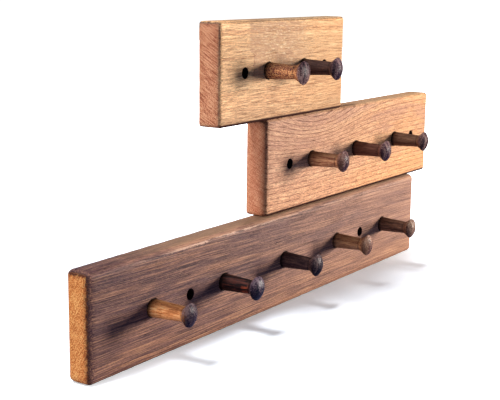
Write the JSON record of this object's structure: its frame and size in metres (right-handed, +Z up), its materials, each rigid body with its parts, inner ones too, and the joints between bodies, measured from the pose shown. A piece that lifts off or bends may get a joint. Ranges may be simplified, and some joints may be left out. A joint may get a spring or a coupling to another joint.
{
  "type": "set of wall peg rails",
  "caption": "Stack of wooden wall peg rails of falling length, each a chamfered plank with turned mushroom-headed pegs and counterbored screw holes.",
  "frame": {"origin": "centre of the whole set's box, on the surface that the set stands on", "axes": "+X runs along the rails, left to right seen from the front; the pegs point to -Y and the backs face +Y; +Z is up"},
  "size_m": [0.477, 0.0552, 0.225],
  "materials": {
    "lower_board_wood": "oiled, smoked brown with a purple cast",
    "middle_board_wood": "oiled, pinkish tan",
    "upper_board_wood": "oiled, golden tan",
    "lower_peg_wood": "oiled, turned, dark brown",
    "middle_peg_wood": "oiled, turned, dark brown",
    "upper_peg_wood": "oiled, turned, dark brown"
  },
  "bodies": {
    "lower_rail": {"lower_board": "lower_board_wood", "lower_peg_1": "lower_peg_wood", "lower_peg_2": "lower_peg_wood", "lower_peg_3": "lower_peg_wood", "lower_peg_4": "lower_peg_wood", "lower_peg_5": "lower_peg_wood"},
    "middle_rail": {"middle_board": "middle_board_wood", "middle_peg_1": "middle_peg_wood", "middle_peg_2": "middle_peg_wood", "middle_peg_3": "middle_peg_wood"},
    "upper_rail": {"upper_board": "upper_board_wood", "upper_peg_1": "upper_peg_wood", "upper_peg_2": "upper_peg_wood"}
  },
  "joints": [
    {"name": "middle_rail_lift", "type": "slide", "parent": "lower_rail", "child": "middle_rail", "axis": [0, 0, 1], "range_m": [0, 0.1]},
    {"name": "upper_rail_lift", "type": "slide", "parent": "middle_rail", "child": "upper_rail", "axis": [0, 0, 1], "range_m": [0, 0.1]}
  ]
}
